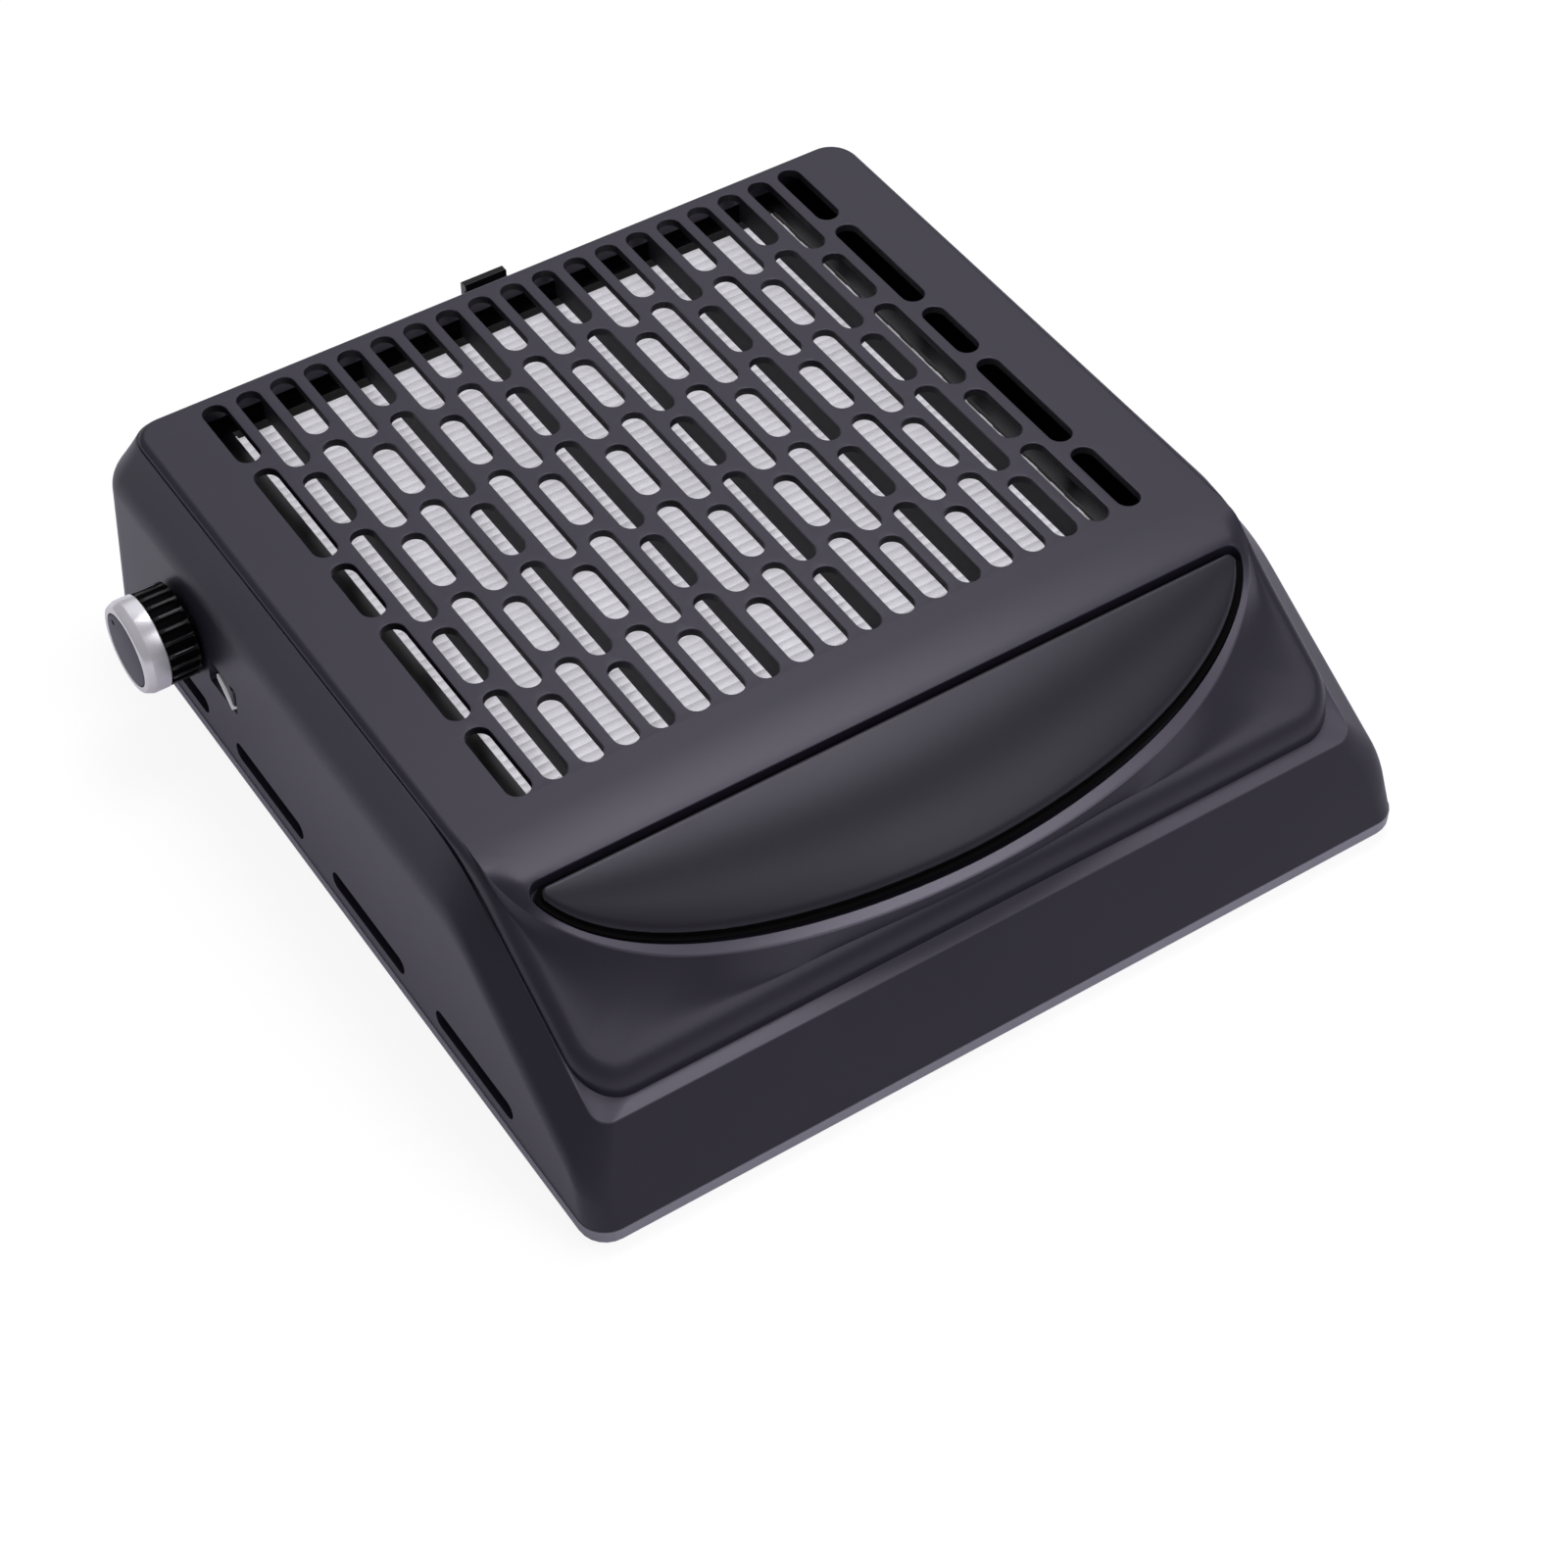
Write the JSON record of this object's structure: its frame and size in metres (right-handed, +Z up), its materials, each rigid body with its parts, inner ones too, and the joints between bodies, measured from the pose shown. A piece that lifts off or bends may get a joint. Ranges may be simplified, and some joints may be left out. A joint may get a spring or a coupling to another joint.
{
  "type": "nail dust collector",
  "caption": "Table-top nail dust collector with a slotted intake top, padded hand rest, pull-out pleated filter drawer, speed knob and power rocker",
  "frame": {"origin": "On the table plane under the middle of the bounding box, knob and pull tab included; 7.9 mm to the right of the case's own mirror plane.", "axes": "+Z up from the table; the hand rest faces -Y, the filter drawer pulls out along +Y, and the knob and power rocker are on the -X side."},
  "size_m": [0.2718, 0.2704, 0.0722],
  "materials": {
    "charcoal": "satin moulded charcoal plastic",
    "soft_charcoal": "soft-touch skin",
    "base_grey": "satin light grey plastic",
    "dark_plastic": "matt dark plastic",
    "black_plastic": "satin black plastic",
    "white_plastic": "satin white plastic",
    "filter_paper": "pleated non-woven filter paper",
    "rubber": "soft matt rubber",
    "steel": "zinc-plated steel",
    "brass": "plain brass",
    "bright_ring": "bright plated ring",
    "grey_cap": "satin grey disc",
    "board_green": "lacquered circuit board"
  },
  "bodies": {
    "case": {"outer_housing": "charcoal", "top_cover": "charcoal", "hand_rest_pad": "soft_charcoal", "base_plate": "base_grey", "foot_front_left": "rubber", "foot_front_right": "rubber", "foot_rear_left": "rubber", "foot_rear_right": "rubber", "base_screw_front_left": "steel", "base_screw_front_right": "steel", "base_screw_rear_left": "steel", "base_screw_rear_right": "steel", "fan_deck": "dark_plastic", "deck_screw_front_left": "steel", "deck_screw_front_right": "steel", "deck_screw_rear_left": "steel", "deck_screw_rear_right": "steel", "motor_stator": "steel", "motor_bushing": "brass", "motor_screw_1": "steel", "motor_screw_2": "steel", "motor_screw_3": "steel", "control_board": "board_green", "board_screw_1": "steel", "board_screw_2": "steel", "speed_control_body": "steel", "speed_control_nut": "steel", "switch_frame": "black_plastic", "inlet_socket": "black_plastic", "inlet_pin_left": "brass", "inlet_pin_right": "brass"},
    "filter_drawer": {"filter_tray": "dark_plastic", "pull_tab": "black_plastic", "filter_frame": "black_plastic", "filter_media": "filter_paper"},
    "speed_knob": {"control_shaft": "steel", "knob_grip": "black_plastic", "knob_ring": "bright_ring", "knob_cap": "grey_cap"},
    "rocker": {"power_rocker": "charcoal", "rocker_strip": "white_plastic"},
    "fan": {"fan_impeller": "black_plastic", "motor_shaft": "steel", "impeller_nut": "steel"}
  },
  "joints": [
    {"name": "drawer_slide", "type": "slide", "parent": "case", "child": "filter_drawer", "axis": [0, 1, 0], "range_m": [0, 0.16]},
    {"name": "knob_turn", "type": "hinge", "parent": "case", "child": "speed_knob", "pos_m": [-0.1271, 0.08255, 0.0355], "axis": [-1, 0, 0], "range_deg": [-150, 150]},
    {"name": "rocker_tilt", "type": "hinge", "parent": "case", "child": "rocker", "pos_m": [-0.1156, 0.05955, 0.0317], "axis": [0, 0, 1], "range_deg": [0, 18]},
    {"name": "fan_spin", "type": "hinge", "parent": "case", "child": "fan", "pos_m": [0.0079, 0.03405, 0.018], "axis": [0, 0, 1], "continuous": true}
  ]
}
